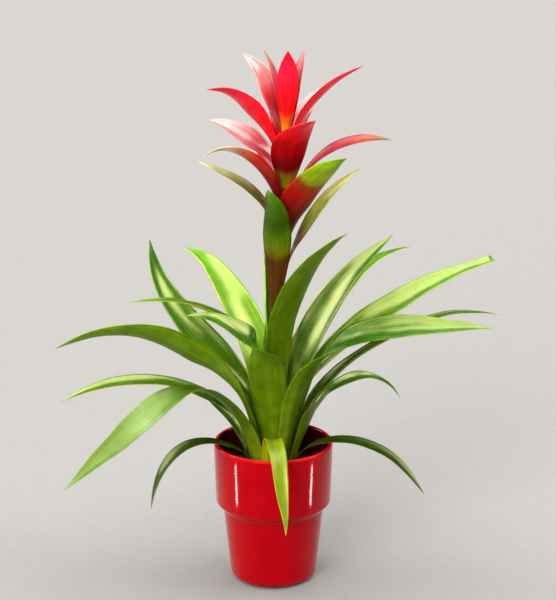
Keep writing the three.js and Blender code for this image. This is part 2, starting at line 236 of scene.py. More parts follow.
def tissue(name, toning, through, glow, density, shine, gleam, roughness):
    """Plant tissue. toning: what the painted tint is multiplied by on this face;
    through, glow: how much light goes in, and how far each colour of it travels;
    density: its IOR; shine, gleam: strength and colour of its reflections."""
    material, tree = new_material(name)
    tint = add(tree, "ShaderNodeAttribute", attribute_name="tint").outputs["Color"]
    place = add(tree, "ShaderNodeTexCoord").outputs["Object"]

    veins = add(tree, "ShaderNodeTexNoise", {"Vector": on_blade(tree, VEINS)},
                {"Scale": 1.0, "Detail": 2.0, "Roughness": 0.55}).outputs["Fac"]
    streaks = add(tree, "ShaderNodeTexNoise", {"Vector": on_blade(tree, STREAKS)},
                  {"Scale": 1.0, "Detail": 1.0}).outputs["Fac"]
    blotches = add(tree, "ShaderNodeTexNoise", {"Vector": place},
                   {"Scale": 1 / BLOTCH, "Detail": 2.0}).outputs["Fac"]

    shaded = add(tree, "ShaderNodeMix", {"A": tint}, {"Factor": 1.0, "B": toning},
                 data_type="RGBA", blend_type="MULTIPLY").outputs["Result"]
    for source, dark in ((veins, "E2E2E2"), (streaks, "D8D8D8"), (blotches, "DEDEDE")):
        pattern = stops_on(add(tree, "ShaderNodeValToRGB", {"Fac": source}),
                           list(zip(DARK_TO_FULL, (dark, "FFFFFF"))))
        shaded = add(tree, "ShaderNodeMix", {"A": shaded, "B": pattern}, {"Factor": 1.0},
                     data_type="RGBA", blend_type="MULTIPLY").outputs["Result"]

    wax = add(tree, "ShaderNodeMapRange", {"Value": streaks},
              {"From Min": 0.3, "From Max": 0.7, "To Min": roughness - WAX_VARIES,
               "To Max": roughness + WAX_VARIES}).outputs["Result"]
    relief = add(tree, "ShaderNodeBump", {"Height": veins},
                 {"Strength": 0.14, "Distance": VEIN_RELIEF}).outputs["Normal"]
    show(tree, add(tree, "ShaderNodeBsdfPrincipled",
                   {"Base Color": shaded, "Roughness": wax, "Normal": relief},
                   {"IOR": density, "Subsurface Weight": through, "Subsurface Radius": glow,
                    "Subsurface Scale": GLOW_REACH, "Specular IOR Level": shine,
                    "Specular Tint": linear(gleam)}))
    return material


print("veins across a blade:", VEINS[0])

# %% [markdown]
# ## Six tissues
# Every blade gets two of them, one for its underside and one for its upper face. The
# oldest leaves, which hang over the rim, have lost much of their wax, and so have
# some bracts, so theirs is duller. The wax itself has an IOR of about 1.45. The bloom
# on a young blade adds a broad pale sheen that one smooth layer can't show, so its
# IOR is raised until the sheen is as bright as on the real plant. Underneath, the
# scales only leave a soft gleam in the colour of the blade.

# %% Six tissues
LEAF_GLOW = (0.8, 1.0, 0.15)     # how far red, green and blue light travel, as shares
BRACT_GLOW = (1.0, 0.2, 0.12)

scaly_leaf = tissue("scaly_leaf_underside", toning=(1, 1, 1, 1), through=0.35, glow=LEAF_GLOW,
                    density=1.45, shine=0.22, gleam="FFFF50", roughness=0.42)
waxed_leaf = tissue("waxed_leaf", toning=(0.24, 0.56, 0.6, 1), through=0.35, glow=LEAF_GLOW,
                    density=1.66, shine=1.0, gleam="FFFF9C", roughness=0.25)
old_leaf = tissue("old_leaf", toning=(0.4, 0.54, 0.6, 1), through=0.35, glow=LEAF_GLOW,
                  density=1.55, shine=0.6, gleam="FFFF9C", roughness=0.32)
soft_bract = tissue("bract_underside", toning=(1, 1, 1, 1), through=0.4, glow=BRACT_GLOW,
                    density=1.45, shine=0.3, gleam="FFA0A8", roughness=0.4)
waxed_bract = tissue("waxed_bract", toning=(0.85, 0.8, 0.8, 1), through=0.4, glow=BRACT_GLOW,
                     density=1.85, shine=1.0, gleam="FFF4F0", roughness=0.29)
dull_bract = tissue("dull_bract", toning=(0.9, 0.85, 0.85, 1), through=0.4, glow=BRACT_GLOW,
                    density=1.55, shine=0.7, gleam="FFD0CC", roughness=0.36)

# each pair: the underside, then the upper face
young_leaf_faces = (scaly_leaf, waxed_leaf)
old_leaf_faces = (scaly_leaf, old_leaf)
bright_bract_faces = (soft_bract, waxed_bract)
dull_bract_faces = (soft_bract, dull_bract)
print("tissues:", [face.name for face in (*young_leaf_faces, old_leaf, *bright_bract_faces, dull_bract)])

# %% [markdown]
# ## Reading a blade
# Each blade in the frame is a thin closed skin of triangles: rows of five points on
# its upper face and five on its lower face, from the base to the tip. To smooth and
# map it, we need to know which point is which. The base row lies level round the
# middle of the plant, with the upper face inside. From one row, each point has
# just one neighbour that isn't known yet, if the points are taken in the right
# order, and that neighbour is its place in the next row.

# %% Reading a blade
ACROSS = 5                   # points across a face
BASE_REACH = 30 * MM         # a base row lies within this of the middle that it clasps
KEYS = [(face, j) for face in ("under", "upper") for j in reversed(range(ACROSS))]


def ring_middles(node):
    """(height, middle) of every level ring of points of a node, from its foot up."""
    rings = {}
    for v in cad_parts[node].data.vertices:
        rings.setdefault(round(v.co.z, 6), set()).add(tuple(round(c, 6) for c in v.co.xy))
    middles = []
    for height, points in sorted(rings.items()):
        middles.append((height, sum((Vector(p) for p in points), Vector((0, 0))) / len(points)))
    return middles


stalk_rings = ring_middles("stem")


def stalk_middle(height):
    """The middle of the stalk at a height, between its rings."""
    for (z0, low), (z1, high) in zip(stalk_rings, stalk_rings[1:]):
        if height <= z1:
            return low.lerp(high, (height - z0) / (z1 - z0))
    return high


def base_row(mesh, foot, middle):
    """The ten points of the base, by face and place across."""
    flat = [v for v in mesh.vertices if abs(v.co.z - foot) < WELD
            and (v.co.xy - middle).length < BASE_REACH]
    outward = sum(((v.co.xy - middle) for v in flat), Vector((0, 0))).normalized()
    flat.sort(key=lambda v: (v.co.xy - middle).length)
    row = {}
    for face, points in (("upper", flat[:ACROSS]), ("under", flat[ACROSS:])):
        points.sort(key=lambda v: outward.angle_signed(v.co.xy - middle), reverse=True)
        row.update({(face, j): v.index for j, v in enumerate(points)})
    return row


def read_rows(mesh, foot, middle):
    """All rows of a blade, from its base to its tip."""
    near = {v.index: set() for v in mesh.vertices}
    for a, b in (edge.vertices for edge in mesh.edges):
        near[a].add(b)
        near[b].add(a)
    rows = [base_row(mesh, foot, middle)]
    seen = set(rows[0].values())
    while len(seen) < len(near):
        row = {}
        for key in KEYS:
            (row[key],) = near[rows[-1][key]] - seen
            seen.add(row[key])
        rows.append(row)
    return rows


print("points in a row:", len(KEYS))

# %% [markdown]
# ## From a faceted blade to a grown one
# A leaf could be grown from a curve, but the frame's blades already bend and clasp
# where they should, and a piece that replaces one has to keep its form. So each
# blade starts as a copy: its points are welded and its diagonals dissolved, which
# leaves clean rows of quads. Its outline is creased, so that a subdivision surface
# rounds the channel without shrinking the width, and its tip is drawn to a point.
# Last, one soft field of noise bends all blades alike, by a millimetre or so. Real
# leaves are never quite even, and since neighbours move together, they stay apart.

# %% The field that bends all blades
SWELL = 3.2 * MM             # strength of the field, half of it each way
SWELL_SIZE = 55 * MM         # size of its waves

swell = bpy.data.textures.new("swell", "CLOUDS")
swell.cloud_type = "COLOR"
swell.noise_scale = SWELL_SIZE
swell.noise_depth = 1


def smooth_and_swell(piece, levels):
    """Subdivides the piece and bends it with the common field, for good."""
    rounding = piece.modifiers.new("rounding", "SUBSURF")
    rounding.levels = rounding.render_levels = levels
    rounding.uv_smooth = "NONE"
    bending = piece.modifiers.new("bending", "DISPLACE")
    bending.texture = swell
    bending.texture_coords = "LOCAL"
    bending.direction = "RGB_TO_XYZ"
    bending.mid_level = 0.5
    bending.strength = SWELL
    apply_all(piece)


print("field of", SWELL_SIZE / MM, "mm waves")

# %% One blade
SHARP_TIP = 3 * MM           # tips narrower than this are drawn to a point
TIP_KEPT = 0.35              # share of its width that such a tip keeps
ROUNDING = 2                 # levels of subdivision


def copy_of(node, name):
    """A piece of its own with a welded copy of a node's mesh."""
    piece = bpy.data.objects.new(name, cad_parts[node].data.copy())
    piece.data.name = name
    piece.data.materials.clear()
    bpy.context.scene.collection.objects.link(piece)
    choose(piece)
    bpy.ops.mesh.customdata_custom_splitnormals_clear()
    bpy.ops.object.mode_set(mode="EDIT")
    bpy.ops.mesh.select_all(action="SELECT")
    bpy.ops.mesh.remove_doubles(threshold=WELD)
    bpy.ops.object.mode_set(mode="OBJECT")
    return piece


def is_rung(a, b):
    """Whether an edge between two places (row, (face, j)) runs along or across."""
    (row_a, (face_a, j_a)), (row_b, (face_b, j_b)) = a, b
    if row_a == row_b:
        return (face_a == face_b) != (j_a == j_b)
    return face_a == face_b and j_a == j_b


def is_outline(a, b, last):
    """Whether an edge lies on the blade's outline: its margins, base or tip."""
    (row_a, (face_a, j_a)), (row_b, (face_b, j_b)) = a, b
    if row_a != row_b:
        return j_a in (0, ACROSS - 1)
    return row_a in (0, last) and face_a == face_b


def draw_tip(piece, row):
    """Narrows the last row about its middle."""
    mesh = piece.data
    ends = [mesh.vertices[row["upper", j]].co for j in (0, ACROSS - 1)]
    if (ends[0] - ends[1]).length > SHARP_TIP:
        return
    middle = (ends[0] + ends[1]) / 2
    places = set(row.values())
    pick(mesh, [e for e in mesh.edges if set(e.vertices) <= places])
    bpy.ops.object.mode_set(mode="EDIT")
    bpy.ops.transform.resize(value=(TIP_KEPT,) * 3, center_override=middle)
    bpy.ops.object.mode_set(mode="OBJECT")


def map_blade(mesh, place, last, faces):
    """The blade's own map (across, along), and a material for its underside and its top."""
    for material in faces:
        mesh.materials.append(material)
    blade = mesh.uv_layers.new(name="blade")
    for polygon in mesh.polygons:
        polygon.material_index = all(place[v][1][0] == "upper" for v in polygon.vertices)
        for loop in polygon.loop_indices:
            row, (_, j) = place[mesh.loops[loop].vertex_index]
            blade.data[loop].uv = (j / (ACROSS - 1), row / last)


def blade_piece(node, foot, middle, faces):
    """A smooth, mapped blade that stands for the node."""
    piece = copy_of(node, node + "_blade")
    mesh = piece.data
    rows = read_rows(mesh, foot, middle)
    last = len(rows) - 1
    place = {v: (k, key) for k, row in enumerate(rows) for key, v in row.items()}

    pick(mesh, [e for e in mesh.edges if not is_rung(*(place[v] for v in e.vertices))])
    bpy.ops.object.mode_set(mode="EDIT")
    bpy.ops.mesh.dissolve_edges(use_verts=False)
    bpy.ops.object.mode_set(mode="OBJECT")

    pick(mesh, [e for e in mesh.edges if is_outline(*(place[v] for v in e.vertices), last)])
    bpy.ops.object.mode_set(mode="EDIT")
    bpy.ops.transform.edge_crease(value=1)
    bpy.ops.object.mode_set(mode="OBJECT")

    draw_tip(piece, rows[-1])
    map_blade(mesh, place, last, faces)
    bpy.ops.object.shade_smooth(keep_sharp_edges=False)
    smooth_and_swell(piece, ROUNDING)
    return piece


print("rounding", ROUNDING, "levels")

# %% [markdown]
# ## Painting a blade
# On the real plant each bract turns from green to red at its own place, and leaves
# are palest at the base and driest at the tip. A list of (share of the length,
# colour) stops says that for each blade. The colours are mixed along the blade's
# map and kept as an attribute on the mesh, which the material reads as its tint.

# %% Painting a blade
SHADES = 200                 # steps of colour from base to tip


def blend_stops(stops, share):
    """The colour at a share of the length, mixed between stops."""
    if share <= stops[0][0]:
        return linear(stops[0][1])
    for (s0, low), (s1, high) in zip(stops, stops[1:]):
        if share <= s1:
            t = (share - s0) / (s1 - s0)
            t = t * t * (3 - 2 * t)
            return tuple(a + (b - a) * t for a, b in zip(linear(low), linear(high)))
    return linear(stops[-1][1])


def paint(piece, stops, margin=0.0, lightness=1.0):
    """Writes the tint of every corner. margin: how far tints lag at the margins."""
    mesh = piece.data
    table = [blend_stops(stops, i / SHADES) for i in range(SHADES + 1)]
    table = [(r * lightness, g * lightness, b * lightness, a) for r, g, b, a in table]
    tints = []
    for own in mesh.uv_layers["blade"].data:
        lag = margin * (2 * own.uv.x - 1) ** 2
        step = min(max(own.uv.y - lag, 0), 1)
        tints.extend(table[round(step * SHADES)])
    mesh.attributes.new("tint", "FLOAT_COLOR", "CORNER").data.foreach_set("color", tints)


print("shades along a blade:", SHADES)

# %% [markdown]
# ## Leaves
# The leaves are one rosette, from thin old outer ones that hang over the rim to
# the wide young ones in the middle. All are the same green with small differences
# in lightness, pale at the base where light hardly reaches, and a little brown
# where the tip has dried. Those that get the most sun are yellower. On top of that
# comes painted light and shade: leaves that lie in shadow get a darker tint, and
# those that catch the most light a much paler one. The one with a blunt end was
# trimmed, so its tip is green. The one that bends down in a knee has painted shade
# up to the knee and a painted highlight just past it, where the leaf lies open to
# the light.

# %% Leaves
LEAF_STOPS = [(0, "96A022"), (0.12, "7A9010"), (0.3, "648408"), (0.6, "608206"),
              (0.93, "74981A"), (0.975, "94A83A"), (1, "B09A48")]
SUNNED_STOPS = [(0, "96A022"), (0.12, "8A920E"), (0.3, "868A08"), (0.6, "888A0A"),
                (0.93, "969A20"), (0.975, "A6A63C"), (1, "B09A48")]
CUT_TIP_STOPS = SUNNED_STOPS[:4] + [(0.9, "A4A830"), (1, "B4B640")]
# leaf_07: painted shade up to the knee, then a painted highlight just past it
KNEE_SHADE_AND_HIGHLIGHT_STOPS = LEAF_STOPS[:2] + [(0.3, "4A6A08"), (0.5, "567A08"), (0.6, "82A438"), (0.68, "A8C068"),
                               (0.76, "76982A")] + LEAF_STOPS[4:]
STOPS_OF = {"leaf_02": SUNNED_STOPS, "leaf_07": KNEE_SHADE_AND_HIGHLIGHT_STOPS, "leaf_10": SUNNED_STOPS,
            "leaf_15": SUNNED_STOPS, "leaf_16": CUT_TIP_STOPS, "leaf_19": SUNNED_STOPS,
            "leaf_21": SUNNED_STOPS}
OLD_LEAVES = ("leaf_01", "leaf_02", "leaf_03", "leaf_07")
LIGHTNESS_RANGE = (0.9, 1.1)     # by chance, from leaf to leaf
# painted light and shade: below 1 a darker tint for leaves that lie in shadow, above 1 a paler tint for
# leaves that catch the light
PAINTED_LIGHT_AND_SHADE = {"leaf_01": 0.42, "leaf_02": 1.9, "leaf_03": 0.3, "leaf_06": 0.6, "leaf_07": 0.98,
             "leaf_08": 0.7, "leaf_10": 0.85, "leaf_11": 0.65, "leaf_13": 0.95, "leaf_14": 0.88,
             "leaf_15": 1.7, "leaf_16": 1.2, "leaf_18": 0.75, "leaf_19": 2.1, "leaf_20": 0.75,
             "leaf_21": 1.1, "leaf_22": 0.92}

chance = random.Random(7)    # every draw in this file comes from here, so each run is the same
leaf_nodes = sorted(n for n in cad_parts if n.startswith("leaf_"))
for node in leaf_nodes:
    faces = old_leaf_faces if node in OLD_LEAVES else young_leaf_faces
    leaf = blade_piece(node, foot_level, Vector((0, 0)), faces)
    # the chance tone times the painted light and shade of this leaf
    lightness = chance.uniform(*LIGHTNESS_RANGE) * PAINTED_LIGHT_AND_SHADE.get(node, 1)
    paint(leaf, STOPS_OF.get(node, LEAF_STOPS), lightness=lightness)
    seat(leaf, node)
print("leaves:", len(leaf_nodes), "faces each:", len(leaf.data.polygons))

# %% [markdown]
# ## Bracts
# Bracts are leaves that turned red to call pollinators. The top ones are red from
# base to tip, those in the middle start yellow-green or brick at the base, and the
# lowest are still green with only a flush of red. Dry tips are cream to brown. The
# margins turn later than the middle, so each change of colour curves across a bract.
# Three bracts that face up carry a painted highlight, a pale pink band past their
# middle.

# %% Bract colours
RED_BRACT = [(0, "B8060C"), (0.35, "F00814"), (1, "F41A2C")]     # where none is given
BRACT_STOPS = {
    "bract_01": [(0, "E8B818"), (0.1, "F07A18"), (0.24, "E80A0A"), (0.5, "F01020"), (0.75, "F01838"),
                 (1, "E60A36")],
    "bract_02": [(0, "B0141C"), (0.6, "C04450"), (1, "C08874")],
    "bract_03": [(0, "B0101C"), (0.7, "C01838"), (1, "DC9094")],
    # its pale pink band past the middle is a painted highlight
    "bract_04": [(0, "F81820"), (0.5, "F43848"), (0.7, "F49490"), (0.88, "F8CCC4"), (1, "F08080")],
    "bract_05": [(0, "D00810"), (0.35, "FC1A2A"), (0.9, "FC3A4E"), (1, "E89080")],
    # its pale pink to whitish outer half is a painted highlight
    "bract_06": [(0, "D81420"), (0.45, "F05460"), (0.75, "F4A8A4"), (1, "F0C0B8")],
    "bract_07": [(0, "C8060C"), (0.4, "EC0A1A"), (0.7, "EE1C38"), (0.93, "F02C48"), (1, "E8C8A0")],
    # its pale pink band past the middle is a painted highlight
    "bract_08": [(0, "B8101C"), (0.35, "D83450"), (0.6, "DC8488"), (0.85, "D08880"), (1, "98984C")],
    "bract_09": [(0, "B0AC14"), (0.1, "96800E"), (0.2, "760206"), (0.42, "BA020A"), (0.6, "F80A1C"),
                 (0.93, "FC3048"), (1, "E8D0B0")],
    "bract_10": [(0, "8C040A"), (0.3, "AA0814"), (0.6, "AC3440"), (0.74, "B04436"), (0.84, "A45220"),
                 (0.95, "746E26"), (1, "988444")],
    "bract_11": [(0, "640204"), (0.3, "8C0406"), (0.5, "C01808"), (0.62, "D05C38"), (0.74, "ECC8A4"),
                 (0.9, "DCDC98"), (1, "F0EED0")],
    "bract_12": [(0, "A82008"), (0.27, "983008"), (0.38, "686A0E"), (0.6, "7C802E"), (0.82, "AEB06A"),
                 (1, "E8E8C0")],
    "bract_13": [(0, "640C06"), (0.3, "880C06"), (0.5, "B81208"), (0.58, "A83A0E"), (0.64, "A2BC0C"),
                 (0.9, "96CA1C"), (1, "78A41C")],
    "bract_14": [(0, "702410"), (0.28, "7C3410"), (0.4, "7E841C"), (0.55, "A0AE3A"), (0.8, "D0D67C"),
                 (1, "CCD070")],
    "bract_15": [(0, "4E5410"), (0.12, "4C2A0C"), (0.42, "50240A"), (0.48, "645A08"), (0.57, "4C6A06"),
                 (0.7, "2C4C00"), (0.84, "325A00"), (0.94, "4C7A08"), (1, "76A81C")],
    "bract_16": [(0, "6E9A20"), (0.7, "9CC83A"), (0.93, "B4D45C"), (1, "ECE8B4")],
    "bract_17": [(0, "5E8E18"), (0.8, "7EAE2A"), (1, "A8B850")],
    "bract_20": [(0, "A8A01C"), (0.3, "B04010"), (0.5, "B80808"), (1, "C01018")],
    "bract_21": [(0, "8A5A20"), (0.35, "9A9A28"), (0.8, "A8B840"), (1, "C8C878")],
    "bract_22": [(0, "6E7424"), (0.5, "7E9A28"), (1, "A8B850")],
}
print("bracts with colours of their own:", len(BRACT_STOPS))

# %% Bracts
GREEN_BRACTS = ("bract_15", "bract_16", "bract_17")
DULL_BRACTS = ("bract_02", "bract_03", "bract_10", "bract_11", "bract_12", "bract_20")
MARGIN_LAG = 0.05            # share of the length by which the margins turn later

faces_of = {node: young_leaf_faces for node in GREEN_BRACTS}
faces_of.update({node: dull_bract_faces for node in DULL_BRACTS})
bract_nodes = sorted(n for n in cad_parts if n.startswith("bract_"))
for node in bract_nodes:
    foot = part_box(node)[0][2]
    faces = faces_of.get(node, bright_bract_faces)
    bract = blade_piece(node, foot, stalk_middle(foot), faces)
    paint(bract, BRACT_STOPS.get(node, RED_BRACT), margin=MARGIN_LAG)
    seat(bract, node)
print("bracts:", len(bract_nodes), "faces each:", len(bract.data.polygons))

# %% [markdown]
# ## Stalk
# The stalk carries the bracts and hides among them. It is a copy of the frame's
# stalk, rounded, and bent by the same field as the blades that clasp it. Its skin is
# a smooth young rind over bundles of fibres: satin, yellow-green, with faint lines
# that run up it.

# %% Stalk
FIBRES = (900, 900, 40)      # to the metre: each is 1.1 mm wide and 25 mm long
FIBRE_RELIEF = 0.3 * MM

rind, tree = new_material("stalk_rind")
place = add(tree, "ShaderNodeTexCoord").outputs["Object"]
fibres = add(tree, "ShaderNodeMapping", {"Vector": place}, {"Scale": FIBRES}).outputs["Vector"]
grain = add(tree, "ShaderNodeTexNoise", {"Vector": fibres}, {"Scale": 1.0}).outputs["Fac"]
green = stops_on(add(tree, "ShaderNodeValToRGB", {"Fac": grain}), [(0.3, "5E7A20"), (0.7, "8FA83A")])
relief = add(tree, "ShaderNodeBump", {"Height": grain},
             {"Strength": 0.3, "Distance": FIBRE_RELIEF}).outputs["Normal"]
show(tree, add(tree, "ShaderNodeBsdfPrincipled", {"Base Color": green, "Normal": relief},
               {"Roughness": 0.42, "IOR": 1.45}))

stalk = copy_of("stem", "stalk")
bpy.ops.object.shade_smooth(keep_sharp_edges=False)
smooth_and_swell(stalk, ROUNDING)
stalk.data.materials.append(rind)
seat(stalk, "stem")
print("stalk faces:", len(stalk.data.polygons))

# %% [markdown]
# ## Pot
# The real pot is slip-cast earthenware: liquid clay sets as an even skin inside a
# plaster mould. On a computer it could be spun from a drawn profile. Here it grows
# the way it was cast, from its underside: a filled circle is extruded and widened
# ring by ring, out over the foot, up the body, round the lip and down the inside,
# where the last ring closes the floor. Small arcs stand in the corners, because a
# glaze never keeps a sharp edge.


# %% Rings that grow into a pot
def rounded(corners, steps=5):
    """Points of a profile: every corner (r, z, radius) becomes an arc of its radius."""
    points = []
    for i, (r, z, radius) in enumerate(corners):
        corner = Vector((r, z))
        if radius == 0:
            points.append(corner)
            continue
        back = (Vector(corners[i - 1][:2]) - corner).normalized()
        ahead = (Vector(corners[i + 1][:2]) - corner).normalized()
        half = back.angle(ahead) / 2
        middle = corner + (back + ahead).normalized() * radius / math.sin(half)
        start, end = (corner + way * radius / math.tan(half) - middle for way in (back, ahead))
        for step in range(steps + 1):
            points.append(middle + start.lerp(end, step / steps).normalized() * radius)
    return points


def turned(name, profile, sides):
    """A closed round piece: a filled circle is extruded and resized along the profile."""
    (radius, height), *rest = [point * MM for point in profile]
    bpy.ops.object.select_all(action="DESELECT")
    bpy.ops.mesh.primitive_circle_add(vertices=sides, radius=radius, fill_type="NGON",
                                      location=(0, 0, height))
    piece = bpy.context.object
    piece.name = piece.data.name = name
    bpy.ops.object.transform_apply(location=True, rotation=True, scale=True)
    bpy.ops.object.mode_set(mode="EDIT")
    bpy.ops.mesh.select_all(action="SELECT")
    for r, z in rest:
        bpy.ops.mesh.extrude_region_move(TRANSFORM_OT_translate={"value": (0, 0, z - height)})
        bpy.ops.transform.resize(value=(r / radius, r / radius, 1), center_override=(0, 0, z))
        radius, height = r, z
    bpy.ops.mesh.select_all(action="SELECT")
    bpy.ops.mesh.normals_make_consistent(inside=False)
    bpy.ops.object.mode_set(mode="OBJECT")
    return piece


print("a rounded corner has", len(rounded([(1, 0, 0), (1, 1, 0.2), (0, 1, 0)])) - 2, "points")

# %% Pot
POT_SIDES = 128
CREASE = 35                  # degrees; flatter edges are shaded smooth
RIM, TOP = rim_radius / MM, rim_height / MM
LIP = 2.4                    # half the thickness of the wall

# (radius, height, rounding) in millimetres, from the underside out and up, over the
# lip, and down inside to the floor
profile = rounded([
    (30, 0, 0), (46.4, 0, 9), (51, 43, 0), (55, 81.5, 7), (62.8, 88.8, 3), (63.9, 120, 0),
    (RIM, TOP, LIP - 0.01), (RIM - 2 * LIP, TOP, LIP - 0.01), (57.8, 124, 0), (56, 100, 5),
    (50.4, 89, 5), (45, 30, 0), (42.6, 6, 4), (30, 6, 0)], steps=6)

pot = turned("glazed_pot", profile, POT_SIDES)
bpy.ops.object.shade_smooth_by_angle(angle=math.radians(CREASE))
seat(pot, "pot")
print("pot faces:", len(pot.data.polygons))

# %% [markdown]
# ## Red glaze
# Glazed earthenware is a sheet of coloured glass over clay: a deep, even red with a
# sharp reflection. Glass pools a little while it melts, so a very low, wide bump
# bends the reflections, and the red is a shade deeper where the glaze ran thick.
# On the lip the glaze thins and looks lighter. Inside the wall the red turns to a
# dark brownish red: painted shade, where the leaves shade the inside of the pot.
# The underside was wiped bare before firing, or it would have stuck to the kiln
# shelf, so bare clay shows there.

# %% Red glaze
GLAZE_WAVE = 18 * MM         # width of the soft waves in the glaze
GLAZE_RELIEF = 0.5 * MM
LIP_BAND = 3.5 * MM          # the lighter band at the lip
SHADE_INSIDE = (3.0 * MM, 4.4 * MM)     # from the rim inward: where the painted shade inside the wall starts and is full
SHADE_INSIDE_FOOT = 92 * MM         # below this height, such a radius is the body's outside
BARE = 0.3 * MM              # height of the wiped underside

glaze, tree = new_material("glazed_earthenware")
place = add(tree, "ShaderNodeTexCoord").outputs["Object"]
height = add(tree, "ShaderNodeSeparateXYZ", {"Vector": place}).outputs["Z"]
waves = add(tree, "ShaderNodeTexNoise", {"Vector": place}, {"Scale": 1 / GLAZE_WAVE, "Detail": 1.0})
depth = stops_on(add(tree, "ShaderNodeValToRGB", {"Fac": waves.outputs["Fac"]}),
                 [(0.3, "90010A"), (0.7, "9A020E")])

lip_share = add(tree, "ShaderNodeMapRange", {"Value": height},
                {"From Min": rim_height - LIP_BAND, "From Max": rim_height}).outputs["Result"]
red = add(tree, "ShaderNodeMix", {"Factor": lip_share, "A": depth}, {"B": linear("B81018")},
          data_type="RGBA").outputs["Result"]

flat = add(tree, "ShaderNodeVectorMath", {0: place}, {1: (1, 1, 0)},
           operation="MULTIPLY").outputs["Vector"]
reach = add(tree, "ShaderNodeVectorMath", {0: flat}, operation="LENGTH").outputs["Value"]
# painted shade: inside the wall, above the body, the red turns to a dark brownish red
painted_shade_inside = add(tree, "ShaderNodeMapRange", {"Value": reach},
            {"From Min": rim_radius - SHADE_INSIDE[0], "From Max": rim_radius - SHADE_INSIDE[1]}).outputs["Result"]
raised = add(tree, "ShaderNodeMath", {0: height}, {1: SHADE_INSIDE_FOOT},
             operation="GREATER_THAN").outputs["Value"]
painted_shade_inside = add(tree, "ShaderNodeMath", {0: painted_shade_inside, 1: raised}, operation="MULTIPLY").outputs["Value"]
red = add(tree, "ShaderNodeMix", {"Factor": painted_shade_inside, "A": red}, {"B": linear("3A0206")},
          data_type="RGBA").outputs["Result"]

bare = add(tree, "ShaderNodeMath", {0: height}, {1: BARE}, operation="LESS_THAN").outputs["Value"]
colour = add(tree, "ShaderNodeMix", {"Factor": bare, "A": red}, {"B": linear("B98A6A")},
             data_type="RGBA").outputs["Result"]
gloss = add(tree, "ShaderNodeMapRange", {"Value": bare},
            {"To Min": 0.09, "To Max": 0.85}).outputs["Result"]
relief = add(tree, "ShaderNodeBump", {"Height": waves.outputs["Fac"]},
             {"Strength": 0.15, "Distance": GLAZE_RELIEF}).outputs["Normal"]
show(tree, add(tree, "ShaderNodeBsdfPrincipled",
               {"Base Color": colour, "Roughness": gloss, "Normal": relief},
               {"IOR": 1.5, "Specular IOR Level": 0.38, "Specular Tint": linear("FF4444")}))
pot.data.materials.append(glaze)
print("material:", glaze.name)

# %% [markdown]
# ## Potting mix
# Bromeliads grow in a coarse mix of peat and bark. Its body is one turned piece
# that fills the pot and leaves a round hole for the plant, as in the frame. Its top
# gets many narrow rings, so that a displacement can crumble it. One bark chip is
# modelled, and its copies lie on top, each turned and sized by chance, between the
# outermost leaves and the wall.

# %% Body of the mix
MIX_SIDES = 128
MIX_TOP = mix_top / MM       # millimetres, as all of the profile
HOLE, MOUTH = 26, 29         # radii of the hole at its floor and at its mouth
HOLE_FLOOR = 112
RINGS, RING_PITCH, RING_RISE = 9, 2.5, 0.1       # narrow rings, from the wall inward

mix_profile = rounded([(30, 6.3, 0), (42, 6.3, 2), (44.7, 30, 0), (50.1, 89, 0), (55.7, 100, 0),
                       (57.5, MIX_TOP - 3, 2), (54, MIX_TOP - 1, 0)], steps=3)
mix_profile += [Vector((54 - RING_PITCH * i, MIX_TOP - 0.9 + RING_RISE * i))
                for i in range(1, RINGS + 1)]
mix_profile += rounded([(31, MIX_TOP, 0), (MOUTH, MIX_TOP, 1), (HOLE, HOLE_FLOOR, 0),
                        (HOLE - 6, HOLE_FLOOR, 0)], steps=3)

mix = turned("potting_mix_fill", mix_profile, MIX_SIDES)
print("mix faces:", len(mix.data.polygons))

# %% Crumbs
CRUMB = 5 * MM               # width of a crumb
CRUMB_HEIGHT = 2.4 * MM      # most of it goes down from the frame's level
LOOSE = (MOUTH + 1, 56)      # millimetres from the middle: the loose top
LOOSE_DEPTH = 1.5 * MM
CRUMB_CREASE = 50            # degrees; flatter edges are shaded smooth

crumbs = bpy.data.textures.new("crumbs", "CLOUDS")
crumbs.noise_scale = CRUMB
crumbs.noise_depth = 3
top_ring = mix.vertex_groups.new(name="top")
for v in mix.data.vertices:
    if v.co.z > mix_top - LOOSE_DEPTH and LOOSE[0] < v.co.xy.length / MM < LOOSE[1]:
        top_ring.add([v.index], 1.0, "REPLACE")
crumble = mix.modifiers.new("crumble", "DISPLACE")
crumble.texture = crumbs
crumble.texture_coords = "LOCAL"
crumble.direction = "Z"
crumble.strength = CRUMB_HEIGHT
crumble.mid_level = 0.75
crumble.vertex_group = top_ring.name
apply_all(mix)
bpy.ops.object.shade_smooth_by_angle(angle=math.radians(CRUMB_CREASE))
print("crumbled points:", sum(bool(v.groups) for v in mix.data.vertices))

# %% One bark chip
CHIP = (7 * MM, 4.4 * MM, 1.7 * MM)
WORN_EDGE = 0.35 * MM

bpy.ops.object.select_all(action="DESELECT")
bpy.ops.mesh.primitive_cube_add(size=1)
chip = bpy.context.object
chip.name = chip.data.name = "bark_chip"
bpy.ops.object.mode_set(mode="EDIT")
bpy.ops.mesh.select_all(action="SELECT")
bpy.ops.transform.resize(value=CHIP)
bpy.ops.mesh.subdivide(number_cuts=1, fractal=0.9, fractal_along_normal=0.4, seed=4)
bpy.ops.mesh.bevel(offset=WORN_EDGE, segments=1)
bpy.ops.object.mode_set(mode="OBJECT")
print("chip faces:", len(chip.data.polygons))

# %% Bark chips on the mix
CHIPS = 110
FIELD = (33, 55)             # millimetres from the middle: the ring where they lie
SUNK = 0.6 * MM              # from the top of the mix down to a chip's middle
TILT = 0.16                  # radians, how far most of them lean
FLAT_SIZES, THICK_SIZES = (0.5, 1.15), (0.7, 1.2)

